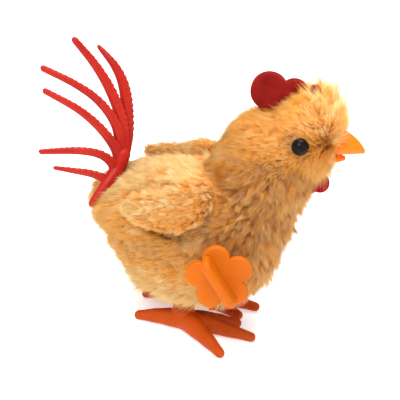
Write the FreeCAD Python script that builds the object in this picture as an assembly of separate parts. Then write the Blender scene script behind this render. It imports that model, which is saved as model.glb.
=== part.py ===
import FreeCAD, Part
import math
import os
from FreeCAD import Matrix, Placement, Rotation, Vector

# Clockwork plush rooster. Millimetres, +X forward, +Y the bird's left, +Z up.
# It is modelled about its own mid-plane (y = 0), standing on z = 0, and is moved
# at the end so that the origin is the bottom centre of its bounding box.

# ---------------------------------------------------------------- driving sizes
# The plush figure: (centre, half sizes along X, Y and Z, forward lean in degrees).
BACK = (Vector(-1.6, 0, 37.0), (31.2, 22.6, 15.2), 0.0)
BELLY = (Vector(0.5, 0, 27.5), (26.6, 22.5, 20.5), 0.0)
NECK = (Vector(16.0, 0, 48.5), (16.0, 16.5, 23.0), 18.0)
NAPE = (Vector(19.0, 0, 61.5), (11.2, 12.2, 10.8), 0.0)
HEAD = (Vector(28.2, 0, 67.2), (11.6, 12.3, 13.0), 0.0)
SKIN = 2.5

KEY_X, KEY_Z = 10.2, 27.8
MODULE = 0.6
GREAT_TEETH, SECOND_PINION_TEETH = 24, 9
SECOND_TEETH, CRANK_PINION_TEETH = 20, 9
GOVERNOR_TEETH = 8

BOX_X = (-12.5, 19.9)
BOX_HALF_WIDTH = 8.0
BOX_Z = (15.5, 37.5)
WALL = 1.2
RUNNING = 0.05                      # radial clearance of the running fits
AIR = 0.3                           # gap kept between parts that move past each other

LEG_PIVOT_Z = 33.5
CRANK_THROW = 2.1

WHEEL_PITCH = MODULE / 2.0          # pitch radius per tooth


# ---------------------------------------------------------------- small helpers
def cylinder_y(x, z, y_low, y_high, radius):
    return Part.makeCylinder(radius, y_high - y_low, Vector(x, y_low, z), Vector(0, 1, 0))


def cylinder_z(x, y, z_low, z_high, radius):
    return Part.makeCylinder(radius, z_high - z_low, Vector(x, y, z_low), Vector(0, 0, 1))


def block(x_span, y_span, z_span):
    corner = Vector(x_span[0], y_span[0], z_span[0])
    sizes = [high - low for low, high in (x_span, y_span, z_span)]
    return Part.makeBox(*sizes, corner)


def fuse_all(shapes):
    return shapes[0].multiFuse(shapes[1:]).removeSplitter()


def mirrored(shape):
    """The same piece on the other side of the bird's mid-plane."""
    return shape.mirror(Vector(0, 0, 0), Vector(0, 1, 0))


def ellipsoid(centre, semi, lean=0.0):
    """An ellipsoid whose top leans forward by an angle in degrees."""
    scale = Matrix()
    scale.scale(*semi)
    shape = Part.makeSphere(1.0).transformGeometry(scale)
    shape.Placement = Placement(centre, Rotation(Vector(0, 1, 0), lean))
    return shape


def polar(centre, radius, degrees):
    """A point (x, z) at a distance and direction from a centre, in the side view."""
    angle = math.radians(degrees)
    return (centre[0] + radius * math.cos(angle), centre[1] + radius * math.sin(angle))


def plate(points, y_low, y_high):
    """A flat plate cut to an outline of (x, z) points, from y_low to y_high."""
    outline = [Vector(x, y_low, z) for x, z in points]
    face = Part.Face(Part.makePolygon(outline + outline[:1]))
    return face.extrude(Vector(0, y_high - y_low, 0))


def round_rims(shape, radius):
    """Rounds the edges of both flat faces of a plate that lies across the Y axis."""
    rims = [edge for edge in shape.Edges if edge.BoundBox.YLength < 0.01]
    return shape.makeFillet(radius, rims)


def tapered_rod(start, end, start_radius, end_radius):
    """A cone with a ball at each end."""
    axis = end - start
    cone = Part.makeCone(start_radius, end_radius, axis.Length, start, axis)
    balls = [Part.makeSphere(start_radius, start), Part.makeSphere(end_radius, end)]
    return cone.multiFuse(balls)


# ---------------------------------------------------------------- gear train
def gear(centre, teeth, phase, y_low, y_high, bore):
    """A spur gear with involute flanks, thinned for backlash, with a tooth at phase degrees."""
    pitch_r = WHEEL_PITCH * teeth
    pressure = math.radians(22.0)
    base_r = pitch_r * math.cos(pressure)
    tip_r = pitch_r + 0.75 * MODULE
    root_r = pitch_r - 1.1 * MODULE
    backlash = 0.07 * MODULE / pitch_r
    involute_at_pitch = math.tan(pressure) - pressure
    half_tooth = math.pi / (2 * teeth) + involute_at_pitch - backlash
    flank = []
    steps = 4
    for step in range(steps + 1):
        radius = max(base_r, root_r) + (tip_r - max(base_r, root_r)) * step / steps
        roll = math.acos(min(1.0, base_r / radius))
        flank.append((radius, half_tooth - (math.tan(roll) - roll)))
    if root_r < base_r:
        flank.insert(0, (root_r, half_tooth))
    outline = []
    for tooth in range(teeth):
        middle = math.radians(phase) + 2 * math.pi * tooth / teeth
        sides = [(r, middle - a) for r, a in flank] + [(r, middle + a) for r, a in reversed(flank)]
        outline += [(centre[0] + r * math.cos(a), centre[1] + r * math.sin(a)) for r, a in sides]
    blank = plate(outline, y_low, y_high)
    return blank.cut(cylinder_y(centre[0], centre[1], y_low - 1, y_high + 1, bore))


def mesh_phase(line, driver_teeth, driver_phase, driven_teeth):
    """Tooth phase of a driven gear that lies at direction line from its driver."""
    offset = line - driver_phase
    return line + 180 + offset * driver_teeth / driven_teeth + 180.0 / driven_teeth


GREAT = (KEY_X, KEY_Z)
TO_SECOND, TO_CRANK, TO_GOVERNOR = 168.0, 267.0, 185.0
SECOND = polar(GREAT, WHEEL_PITCH * (GREAT_TEETH + SECOND_PINION_TEETH), TO_SECOND)
CRANK = polar(SECOND, WHEEL_PITCH * (SECOND_TEETH + CRANK_PINION_TEETH), TO_CRANK)
GOVERNOR = polar(SECOND, WHEEL_PITCH * (SECOND_TEETH + GOVERNOR_TEETH), TO_GOVERNOR)
LEG_PIVOT = (CRANK[0], LEG_PIVOT_Z)

ARBOR_R = 1.6
STEEL_PIN_R = 0.6
CRANK_ARBOR_R = 0.9
GREAT_Y = (-0.9, 0.9)
SECOND_PINION_Y = (-1.3, 1.3)
SECOND_WHEEL_Y = (-3.4, -1.8)
THIRD_Y = (-3.9, -1.5)
RATCHET_Y = (1.3, 2.3)
SPRING_Y = (2.9, 6.2)
PIN_END = BOX_HALF_WIDTH - 0.2
CRANK_DISC_Y = (BOX_HALF_WIDTH + 0.1, BOX_HALF_WIDTH + 0.9)


def great_wheel():
    wheel = gear(GREAT, GREAT_TEETH, TO_SECOND, *GREAT_Y, ARBOR_R + RUNNING)
    for spoke in range(5):
        x, z = polar(GREAT, 4.6, 30 + 72 * spoke)
        wheel = wheel.cut(cylinder_y(x, z, GREAT_Y[0], GREAT_Y[1], 1.3))
    return wheel


def click():
    """The spring pawl that rides on the great wheel and catches the ratchet."""
    x, z = polar(GREAT, 6.0, 66)
    pawl = cylinder_y(x, z, GREAT_Y[1], RATCHET_Y[1] - 0.2, 0.9)
    heel_x, heel_z = polar(GREAT, 5.1, 88)
    arm = plate([(x + 0.5, z + 0.6), (x - 0.3, z - 0.6), (heel_x, heel_z - 0.4),
                 (heel_x, heel_z + 0.6)], RATCHET_Y[0] + 0.1, RATCHET_Y[1] - 0.2)
    return pawl.fuse(arm).removeSplitter()


def ratchet_wheel():
    """Saw-toothed wheel pressed on the winding arbor."""
    points = []
    teeth = 10
    for tooth in range(teeth):
        start = 360.0 / teeth * tooth
        points.append(polar(GREAT, 4.1, start))
        points.append(polar(GREAT, 3.2, start + 3))
    wheel = plate(points, *RATCHET_Y)
    return wheel.cut(cylinder_y(*GREAT, RATCHET_Y[0] - 1, RATCHET_Y[1] + 1, ARBOR_R))


def mainspring():
    """A flat steel ribbon wound in a spiral around the arbor."""
    turns, inner_r, outer_r, ribbon = 5.0, 2.2, 6.7, 0.35
    samples = 60
    outside, inside = [], []
    for step in range(samples + 1):
        part = step / samples
        radius = inner_r + (outer_r - inner_r) * part
        angle = 360 * turns * part
        outside.append(Vector(polar(GREAT, radius + ribbon, angle)[0], SPRING_Y[0],
                              polar(GREAT, radius + ribbon, angle)[1]))
        inside.append(Vector(polar(GREAT, radius, angle)[0], SPRING_Y[0],
                             polar(GREAT, radius, angle)[1]))
    curves = []
    for points in (outside, inside):
        curve = Part.BSplineCurve()
        curve.interpolate(points)
        curves.append(curve.toShape())
    ends = [Part.makeLine(outside[0], inside[0]), Part.makeLine(outside[-1], inside[-1])]
    wire = Part.Wire(Part.__sortEdges__(curves + ends))
    return Part.Face(wire).extrude(Vector(0, SPRING_Y[1] - SPRING_Y[0], 0))


def second_wheel():
    pinion_phase = mesh_phase(TO_SECOND, GREAT_TEETH, TO_SECOND, SECOND_PINION_TEETH)
    pinion = gear(SECOND, SECOND_PINION_TEETH, pinion_phase, *SECOND_PINION_Y, STEEL_PIN_R)
    wheel = gear(SECOND, SECOND_TEETH, TO_CRANK, *SECOND_WHEEL_Y, STEEL_PIN_R)
    hub = cylinder_y(*SECOND, SECOND_WHEEL_Y[1], SECOND_PINION_Y[0], 1.9)
    hub = hub.cut(cylinder_y(*SECOND, SECOND_WHEEL_Y[0], SECOND_PINION_Y[1], STEEL_PIN_R))
    return fuse_all([wheel, hub, pinion])


def crank_pinion():
    phase = mesh_phase(TO_CRANK, SECOND_TEETH, TO_CRANK, CRANK_PINION_TEETH)
    return gear(CRANK, CRANK_PINION_TEETH, phase, *THIRD_Y, CRANK_ARBOR_R)


def governor_wheel():
    """Pinion and small flywheel that steadies the speed."""
    phase = mesh_phase(TO_GOVERNOR, SECOND_TEETH, TO_CRANK, GOVERNOR_TEETH)
    pinion = gear(GOVERNOR, GOVERNOR_TEETH, phase, *THIRD_Y, STEEL_PIN_R)
    neck = cylinder_y(*GOVERNOR, THIRD_Y[1], -0.5, 1.3)
    disc = cylinder_y(*GOVERNOR, -0.5, 2.8, 3.2)
    rim = disc.cut(cylinder_y(*GOVERNOR, 0.8, 2.8, 2.2))
    bore = cylinder_y(*GOVERNOR, THIRD_Y[0] - 1, 4, STEEL_PIN_R)
    return fuse_all([pinion, neck, rim]).cut(bore)


def arbors():
    nodes = {}
    nodes["winding_arbor"] = cylinder_y(*GREAT, -28.0, PIN_END, ARBOR_R)
    nodes["second_arbor"] = cylinder_y(*SECOND, -PIN_END, PIN_END, STEEL_PIN_R)
    nodes["governor_arbor"] = cylinder_y(*GOVERNOR, -PIN_END, PIN_END, STEEL_PIN_R)
    nodes["crank_arbor"] = cylinder_y(*CRANK, -CRANK_DISC_Y[1], CRANK_DISC_Y[1], CRANK_ARBOR_R)
    return nodes


# ---------------------------------------------------------------- cranks and legs
CRANK_PIN_END = CRANK_DISC_Y[1] + 0.2
LEVER_Y = (CRANK_PIN_END + AIR, CRANK_PIN_END + AIR + 1.8)
LEVER_HALF = 3.0
LEVER_BOTTOM = 2.6
BOSS_R = 1.5
SHOULDER_R = 2.4


def crank_disc(direction):
    """A left-hand disc whose pin stands above (+1) or below (-1) the crank's centre."""
    disc = cylinder_y(*CRANK, *CRANK_DISC_Y, 3.2)
    disc = disc.cut(cylinder_y(*CRANK, *CRANK_DISC_Y, CRANK_ARBOR_R))
    pin_z = CRANK[1] + direction * CRANK_THROW
    return disc.fuse(cylinder_y(CRANK[0], pin_z, CRANK_DISC_Y[1], CRANK_PIN_END, 0.7))


def leg_lever():
    """The left lever: swings on the upper boss, with a slot for the crank pin."""
    x, z = LEG_PIVOT
    bar = block((x - LEVER_HALF, x + LEVER_HALF), LEVER_Y, (LEVER_BOTTOM, z))
    top = cylinder_y(x, z, *LEVER_Y, LEVER_HALF)
    lever = fuse_all([bar, top])
    lever = lever.cut(cylinder_y(x, z, *LEVER_Y, BOSS_R + RUNNING))
    slot_half, slot_reach = 0.8, CRANK_THROW + 0.9
    slot = block((x - slot_half, x + slot_half), LEVER_Y,
                 (CRANK[1] - slot_reach, CRANK[1] + slot_reach))
    return lever.cut(slot)


# Each toe: its direction outward from straight ahead, in degrees, and its length.
TOES = ((47.0, 19.5), (1.6, 22.0), (-24.0, 18.9), (190.0, 13.9))
FOOT_Y = (LEVER_Y[0] + LEVER_Y[1]) / 2
FOOT_ROOT_Z, FOOT_ROOT_R = 2.6, 3.0
TOE_TIP_R = 1.4


def foot():
    """The left foot: an ankle block and four rounded toes with one flat sole."""
    root = Vector(CRANK[0], FOOT_Y, FOOT_ROOT_Z)
    shapes = []
    for turn, length in TOES:
        angle = math.radians(turn)
        tip = Vector(root.x + length * math.cos(angle), root.y + length * math.sin(angle), TOE_TIP_R)
        shapes.append(tapered_rod(root, tip, FOOT_ROOT_R, TOE_TIP_R))
    ankle = Part.makeCone(3.9, 3.5, 5.0, Vector(root.x, root.y, 1.2), Vector(0, 0, 1))
    shape = fuse_all(shapes + [ankle])
    shape = shape.cut(block((-40, 40), (-10, 50), (-10, 0)))
    lever_room = block((root.x - LEVER_HALF, root.x + LEVER_HALF), LEVER_Y, (LEVER_BOTTOM, 20))
    return shape.cut(lever_room)


# ---------------------------------------------------------------- gearbox and base
CORNER_X, CORNER_Z = 15.4, 21.5     # the cut-off lower front corner of the gearbox
SCREW_POINTS = [(BOX_X[0] + 2.6, BOX_Z[0] + 2.6), (CORNER_X - 1.5, BOX_Z[0] + 2.6),
                (BOX_X[0] + 2.6, BOX_Z[1] - 2.6), (BOX_X[1] - 2.6, BOX_Z[1] - 2.6)]
SCREW_R = 0.8
POST_POINTS = [(x, y) for x in (-8.0, 10.0) for y in (-5.0, 5.0)]
SCREW_TIP_Y = 5.0
PLATE_Z = (8.8, 10.4)
PLATE_SEMI = (16.5, 12.5)
PLATE_X = 2.8
LEG_NOTCH = 7.8                     # half the length, along X, of the room for a swinging leg


def plate_oval(grow, z_low, z_high):
    """The base plate's outline, grown all round, as a solid between two heights."""
    ellipse = Part.Ellipse(Vector(PLATE_X, 0, z_low), PLATE_SEMI[0] + grow, PLATE_SEMI[1] + grow)
    face = Part.Face(Part.Wire([ellipse.toShape()]))
    return face.extrude(Vector(0, 0, z_high - z_low))


def gearbox_form(y_span, inset):
    """The gearbox's outline, set in by a wall thickness, as a solid block."""
    (rear, front), (low, high) = BOX_X, BOX_Z
    slant = math.atan2(CORNER_Z - low, front - CORNER_X)
    lower = inset * math.tan(slant / 2)
    upper = inset * math.tan((math.pi / 2 - slant) / 2)
    points = [(rear + inset, low + inset), (CORNER_X - lower, low + inset),
              (front - inset, CORNER_Z + upper), (front - inset, high - inset),
              (rear + inset, high - inset)]
    return plate(points, *y_span)


def gearbox_half(side):
    """One moulded half of the gearbox: side is -1 for the right, +1 for the left."""
    y_span = (-BOX_HALF_WIDTH, 0) if side < 0 else (0, BOX_HALF_WIDTH)
    room_y = (-BOX_HALF_WIDTH + WALL, BOX_HALF_WIDTH - WALL)
    shell = gearbox_form(y_span, 0.0).cut(gearbox_form(room_y, WALL))
    posts = [cylinder_y(x, z, *y_span, 1.9) for x, z in SCREW_POINTS]
    wall_y = side * BOX_HALF_WIDTH
    shoulder_y = sorted((wall_y, side * (LEVER_Y[0] - 0.1)))
    boss_y = sorted((wall_y, side * (LEVER_Y[1] + 1.2)))
    bosses = [cylinder_y(*LEG_PIVOT, *shoulder_y, SHOULDER_R), cylinder_y(*LEG_PIVOT, *boss_y, BOSS_R)]
    shell = fuse_all([shell] + posts + bosses)
    screw_r = SCREW_R + 0.15 if side < 0 else SCREW_R
    holes = [cylinder_y(x, z, y_span[0] - 1, min(y_span[1], SCREW_TIP_Y), screw_r) for x, z in SCREW_POINTS]
    bearings = ((GREAT, ARBOR_R), (SECOND, STEEL_PIN_R), (GOVERNOR, STEEL_PIN_R), (CRANK, CRANK_ARBOR_R))
    for centre, radius in bearings:
        holes.append(cylinder_y(*centre, -BOX_HALF_WIDTH - 0.05, BOX_HALF_WIDTH + 0.05, radius + RUNNING))
    for x, y in POST_POINTS:
        holes.append(cylinder_z(x, y, BOX_Z[0] - 1, BOX_Z[0] + WALL, SCREW_R))
    for hole in holes:
        shell = shell.cut(hole)
    return shell


def gearbox_screws():
    screws = []
    for x, z in SCREW_POINTS:
        head = cylinder_y(x, z, -BOX_HALF_WIDTH - 1.0, -BOX_HALF_WIDTH, 1.6)
        slot = block((x - 1.7, x + 1.7), (-BOX_HALF_WIDTH - 1.0, -BOX_HALF_WIDTH - 0.6), (z - 0.25, z + 0.25))
        shank = cylinder_y(x, z, -BOX_HALF_WIDTH, SCREW_TIP_Y, SCREW_R)
        screws.append(head.cut(slot).fuse(shank))
    return Part.makeCompound(screws)


def base_plate():
    """The oval plate that closes the belly, with a notch for each leg and four spacers."""
    shape = plate_oval(0.0, *PLATE_Z)
    spacers = [cylinder_z(x, y, PLATE_Z[1], BOX_Z[0], 2.0) for x, y in POST_POINTS]
    shape = fuse_all([shape] + spacers)
    for side in (-1, 1):
        y_span = sorted((side * (LEVER_Y[0] - AIR), side * 20))
        shape = shape.cut(block((CRANK[0] - LEG_NOTCH, CRANK[0] + LEG_NOTCH), y_span, (0, 20)))
    for x, y in POST_POINTS:
        shape = shape.cut(cylinder_z(x, y, PLATE_Z[0] - 1, BOX_Z[0] + 1, SCREW_R + 0.15))
    return shape


def base_plate_screws():
    screws = []
    for x, y in POST_POINTS:
        head = cylinder_z(x, y, PLATE_Z[0] - 0.8, PLATE_Z[0], 1.6)
        slot = block((x - 1.7, x + 1.7), (y - 0.25, y + 0.25), (PLATE_Z[0] - 0.8, PLATE_Z[0] - 0.5))
        shank = cylinder_z(x, y, PLATE_Z[0], BOX_Z[0] + WALL, SCREW_R)
        screws.append(head.cut(slot).fuse(shank))
    return Part.makeCompound(screws)


def leg_pivot_caps():
    """Push-on caps that keep the levers on their bosses."""
    y_span = (LEVER_Y[1] + AIR, LEVER_Y[1] + 1.1)
    cap = cylinder_y(*LEG_PIVOT, *y_span, 2.7).cut(cylinder_y(*LEG_PIVOT, *y_span, BOSS_R))
    return Part.makeCompound([cap, mirrored(cap)])


# ---------------------------------------------------------------- winding key
DISC_Y = (-29.2, -27.0)
FIN_HALF = 8.3
FIN_OUT = -35.6
FIN_THICK = 2.7
FIN_ANGLE = -51.0
PETAL_PHASE = 35.0


def winding_key():
    """A five-petal knob with a finger fin across its face and a hub behind."""
    parts = [cylinder_y(*GREAT, *DISC_Y, 6.2)]
    for petal in range(5):
        x, z = polar(GREAT, 6.0, PETAL_PHASE + 72 * petal)
        parts.append(round_rims(cylinder_y(x, z, *DISC_Y, 4.1), 0.8))
    flower = fuse_all(parts)
    hub = cylinder_y(*GREAT, DISC_Y[1], -21.5, 3.3)
    base_y = DISC_Y[0] + 0.4
    corner = 3.0
    fin_face = [Vector(-FIN_HALF, base_y, 0), Vector(-FIN_HALF, FIN_OUT + corner, 0),
                Vector(-FIN_HALF + corner, FIN_OUT, 0), Vector(FIN_HALF - corner, FIN_OUT, 0),
                Vector(FIN_HALF, FIN_OUT + corner, 0), Vector(FIN_HALF, base_y, 0)]
    quarter = corner * (1 - math.cos(math.radians(45)))
    edges = [Part.makeLine(fin_face[0], fin_face[1]),
             Part.Arc(fin_face[1], Vector(-FIN_HALF + quarter, FIN_OUT + quarter, 0), fin_face[2]).toShape(),
             Part.makeLine(fin_face[2], fin_face[3]),
             Part.Arc(fin_face[3], Vector(FIN_HALF - quarter, FIN_OUT + quarter, 0), fin_face[4]).toShape(),
             Part.makeLine(fin_face[4], fin_face[5]),
             Part.makeLine(fin_face[5], fin_face[0])]
    fin = Part.Face(Part.Wire(edges)).extrude(Vector(0, 0, FIN_THICK))
    fin.translate(Vector(0, 0, -FIN_THICK / 2))
    outer = [edge for edge in fin.Edges if edge.BoundBox.ZLength < 0.01 and edge.BoundBox.YMin < base_y - 0.5]
    fin = fin.makeFillet(1.2, outer)
    fin.rotate(Vector(0, 0, 0), Vector(0, 1, 0), -FIN_ANGLE)
    fin.translate(Vector(GREAT[0], 0, GREAT[1]))
    key = fuse_all([flower, hub, fin])
    return key.cut(cylinder_y(*GREAT, -28.0, -21, ARBOR_R))


# ---------------------------------------------------------------- head trim
def comb():
    """A flat three-lobed comb that stands in a slit along the top of the head."""
    half = 2.5
    lobes = ((16.0, 77.6, 5.6), (23.4, 77.7, 4.5), (29.4, 79.0, 2.2))
    parts = [round_rims(cylinder_y(x, z, -half, half, radius), 1.3) for x, z, radius in lobes]
    root = [(12.4, 73.6), (16.5, 69.5), (26.5, 73.0), (30.4, 77.5), (27.5, 79.5), (16.0, 78.0)]
    parts.append(round_rims(plate(root, -half, half), 1.3))
    return fuse_all(parts)


def wattle():
    """The flat red lobe under the beak."""
    half = 1.3
    drop = round_rims(cylinder_y(35.4, 51.2, -half, half, 2.9), 0.7)
    outline = [(33.4, 53.6), (31.2, 50.2), (31.6, 47.6), (33.0, 47.2), (36.0, 50.0), (36.8, 55.2)]
    fold = round_rims(plate(outline, -half, half), 0.5)
    return fuse_all([drop, fold])


def beak_half(stations):
    """A beak lofted through ovals given as (x, z centre, half width, half height)."""
    rings = []
    for x, z, half_width, half_height in stations:
        centre = Vector(x, 0, z)
        if half_width >= half_height:
            ring = Part.Ellipse(centre + Vector(0, half_width, 0), centre + Vector(0, 0, half_height), centre)
        else:
            ring = Part.Ellipse(centre + Vector(0, 0, half_height), centre + Vector(0, half_width, 0), centre)
        rings.append(Part.Wire([ring.toShape()]))
    return Part.makeLoft(rings, True, False)


def upper_beak():
    return beak_half(((37.0, 65.4, 4.0, 3.9), (40.0, 65.1, 3.8, 3.7), (43.0, 64.7, 2.9, 2.8),
                      (45.4, 64.0, 1.7, 1.6), (47.0, 63.2, 0.6, 0.55)))


def lower_beak():
    return beak_half(((37.0, 59.9, 2.8, 1.3), (39.6, 60.0, 2.3, 1.1), (41.6, 60.3, 1.0, 0.5)))


EYE = Vector(27.4, 12.4, 65.8)
EYE_R = 2.6
EYE_STEM_R = 0.8


def eye():
    """The left eye: a bead on a stem that goes through the skin."""
    stem = cylinder_y(EYE.x, EYE.z, EYE.y - 6.5, EYE.y, EYE_STEM_R)
    return Part.makeSphere(EYE_R, EYE).fuse(stem)


def eye_washers():
    y_span = (EYE.y - 5.6, EYE.y - 4.8)
    washer = cylinder_y(EYE.x, EYE.z, *y_span, 3.0).cut(cylinder_y(EYE.x, EYE.z, *y_span, EYE_STEM_R))
    return Part.makeCompound([washer, mirrored(washer)])


# ---------------------------------------------------------------- tail
STEM_START = Vector(-27.0, -1.4, 44.6)
STEM_DIRECTION = Vector(0.86, 0.1, -0.5).normalize()
STEM_R = 1.7
STEM_LENGTH = 9.0
# The spine that the feathers grow from: (point, radius), from the top to the foot.
SPINE = ((Vector(-25.2, 0, 50.5), 2.2), (Vector(-26.3, -1.2, 45.8), 2.1), (Vector(-28.6, -4.0, 41.6), 1.8),
         (Vector(-32.0, -7.3, 36.0), 1.1))
# Each feather: points from the root to the tip, then its half width at root, middle and tip.
FEATHERS = (
    ((Vector(-25.2, 0, 50), Vector(-25.2, 2.5, 59.6), Vector(-27.2, 4, 69.2), Vector(-30.8, 4.8, 75.6),
      Vector(-37.1, 6, 81.2)), 2.1, 2.0, 0.65),
    ((Vector(-25.3, 0, 50), Vector(-26.8, 1.3, 60.4), Vector(-30.8, 2, 68.5), Vector(-36.4, 2.6, 75.8),
      Vector(-44.2, 3, 83.2)), 2.4, 1.8, 1.05),
    ((Vector(-25.5, 0, 50), Vector(-28, 0, 59), Vector(-33.6, 0, 65.6), Vector(-41.4, 0, 70),
      Vector(-52.4, 0, 73.7)), 2.1, 1.45, 1.1),
    ((Vector(-25.9, -0.6, 48.2), Vector(-27.8, -1.2, 53), Vector(-32.8, -2, 58.6), Vector(-39.8, -2.8, 63.5),
      Vector(-50.6, -3, 67.8)), 1.9, 1.45, 1.0),
    ((Vector(-26.8, -1.8, 44.4), Vector(-27.9, -2.5, 48), Vector(-31.7, -4, 50.9), Vector(-38.4, -4.8, 51.2),
      Vector(-49.9, -5, 49)), 1.8, 1.35, 0.85),
    ((Vector(-28.0, -3.4, 42.2), Vector(-30.8, -3.6, 43.6), Vector(-34, -3.8, 44.3), Vector(-37.7, -4, 44.4),
      Vector(-45.3, -4, 44.3)), 1.6, 1.2, 0.65),
)


def feather(points, root_half, middle_half, tip_half):
    """A flattened, tapering feather lofted along a curve through its points."""
    curve = Part.BSplineCurve()
    curve.interpolate(list(points))
    stations = 7
    rings = []
    for station in range(stations):
        part = station / (stations - 1)
        at = curve.FirstParameter + (curve.LastParameter - curve.FirstParameter) * part
        centre = curve.value(at)
        along = Vector(*curve.tangent(at)[0])
        across = along.cross(Vector(0, 1, 0)).normalize()
        through = along.cross(across).normalize()
        half = (root_half * (1 - part) * (1 - 2 * part) + 4 * middle_half * part * (1 - part)
                + tip_half * part * (2 * part - 1))
        ring = Part.Ellipse(centre + across * half, centre + through * half * 0.55, centre)
        rings.append(Part.Wire([ring.toShape()]))
    return Part.makeLoft(rings, True, False)


def tail_feathers():
    """Six feathers on one spine, with a stem that goes through the skin."""
    shape = Part.makeCylinder(STEM_R, STEM_LENGTH, STEM_START, STEM_DIRECTION)
    for (start, start_r), (end, end_r) in zip(SPINE, SPINE[1:]):
        shape = shape.fuse(tapered_rod(start, end, start_r, end_r))
    for row in FEATHERS:
        shape = shape.fuse(feather(*row))
    return shape


def tail_washer():
    """The washer pushed on the tail's stem inside the skin."""
    thick = 1.2
    start = STEM_START + STEM_DIRECTION * (STEM_LENGTH - 2 * thick)
    ring = Part.makeCylinder(4.0, thick, start, STEM_DIRECTION)
    return ring.cut(Part.makeCylinder(STEM_R, thick, start, STEM_DIRECTION))


# ---------------------------------------------------------------- plush
def plush_form(inset):
    """Back, belly, neck and head as one rounded form, set in from the outside by inset."""
    rounds = [ellipsoid(centre, [s - inset for s in semi], lean)
              for centre, semi, lean in (BACK, BELLY, NECK, NAPE, HEAD)]
    return fuse_all(rounds)


def key_passage():
    return cylinder_y(*GREAT, -40, 0, 4.2)


def belly_opening():
    """The hole under the belly: round the base plate, and wide enough for the legs to swing."""
    z_span = (0, BOX_Z[0] - 1.0)
    side = LEVER_Y[1] + AIR
    legs = block((CRANK[0] - LEG_NOTCH, CRANK[0] + LEG_NOTCH), (-side, side), z_span)
    return plate_oval(0.2, *z_span).fuse(legs)


def plush_skin(trim):
    shape = plush_form(0.0).cut(plush_form(SKIN))
    shape = shape.cut(belly_opening())
    shape = shape.cut(key_passage())
    for piece in trim:
        shape = shape.cut(piece)
    return shape


def stuffing(trim):
    works = block((BOX_X[0] - 1.0, BOX_X[1] + 0.6), (-13.5, 13.5), (BOX_Z[0] - 1.0, BOX_Z[1] + 1.5))
    leg_room = block((CRANK[0] - 12.0, CRANK[0] + 12.0), (-13.5, 13.5), (0, BOX_Z[0]))
    shape = plush_form(SKIN + 0.1).cut(works).cut(leg_room)
    shape = shape.cut(belly_opening()).cut(key_passage())
    for piece in trim:
        shape = shape.cut(piece)
    return shape


WING_CENTRE = Vector(-8.4, 21.9, 46.2)
WING_LEAN = 44.0
# The wing's two overlapping pads, front and rear: (along, up, half sizes).
WING_PADS = ((3.0, 0.2, (10.4, 2.6, 9.2)), (-5.5, -2.6, (8.4, 2.2, 4.8)))


def wing():
    """The left wing: a flat padded teardrop that leans on the upper side of the body."""
    pads = [ellipsoid(Vector(along, 0, up), semi) for along, up, semi in WING_PADS]
    shape = fuse_all(pads)
    shape.Placement = Placement(WING_CENTRE, Rotation(Vector(1, 0, 0), WING_LEAN))
    return shape


# ---------------------------------------------------------------- whole toy
def largest_solid(shape):
    return max(shape.Solids, key=lambda solid: solid.Volume)


def build():
    nodes = arbors()
    nodes["great_wheel"] = great_wheel()
    nodes["click"] = click()
    nodes["ratchet_wheel"] = ratchet_wheel()
    nodes["mainspring"] = mainspring()
    nodes["second_wheel"] = second_wheel()
    nodes["crank_pinion"] = crank_pinion()
    nodes["governor_wheel"] = governor_wheel()
    nodes["left_crank_disc"] = crank_disc(-1)
    nodes["right_crank_disc"] = mirrored(crank_disc(1))
    nodes["left_leg_lever"] = leg_lever()
    nodes["right_leg_lever"] = mirrored(nodes["left_leg_lever"])
    nodes["left_foot"] = foot()
    nodes["right_foot"] = mirrored(nodes["left_foot"])
    nodes["leg_pivot_caps"] = leg_pivot_caps()
    nodes["gearbox_right_half"] = gearbox_half(-1)
    nodes["gearbox_left_half"] = gearbox_half(1)
    nodes["gearbox_screws"] = gearbox_screws()
    nodes["base_plate"] = base_plate()
    nodes["base_plate_screws"] = base_plate_screws()
    nodes["winding_key"] = winding_key()
    nodes["comb"] = comb()
    nodes["wattle"] = wattle()
    nodes["upper_beak"] = upper_beak()
    nodes["lower_beak"] = lower_beak()
    nodes["left_eye"] = eye()
    nodes["right_eye"] = mirrored(nodes["left_eye"])
    nodes["eye_washers"] = eye_washers()
    nodes["tail_feathers"] = tail_feathers()
    nodes["tail_washer"] = tail_washer()
    sewn_in = ("comb", "wattle", "upper_beak", "lower_beak", "left_eye", "right_eye", "eye_washers",
               "tail_feathers", "tail_washer")
    trim = [nodes[name] for name in sewn_in]
    nodes["plush_skin"] = largest_solid(plush_skin(trim))
    nodes["stuffing"] = largest_solid(stuffing(trim))
    nodes["left_wing"] = wing()
    nodes["right_wing"] = mirrored(nodes["left_wing"])
    return nodes


def export(nodes):
    """Moves every piece so that the origin is the bottom centre of the whole, and writes it."""
    box = FreeCAD.BoundBox()
    for shape in nodes.values():
        box.add(shape.optimalBoundingBox(True, False))
    shift = Vector(-(box.XMin + box.XMax) / 2, -(box.YMin + box.YMax) / 2, -box.ZMin)
    os.makedirs("parts", exist_ok=True)
    for name, shape in nodes.items():
        moved = shape.translated(shift)
        if not moved.isValid():
            print("INVALID", name)
        moved.exportStep("parts/" + name + ".step")
    print("shift", [round(value, 4) for value in shift])
    print("size", round(box.XLength, 2), round(box.YLength, 2), round(box.ZLength, 2))
    print("great", GREAT, "second", SECOND, "crank", CRANK, "governor", GOVERNOR)


export(build())
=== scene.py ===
import math

import bmesh
import bpy
import numpy as np
from mathutils import Matrix, Vector, kdtree


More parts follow.
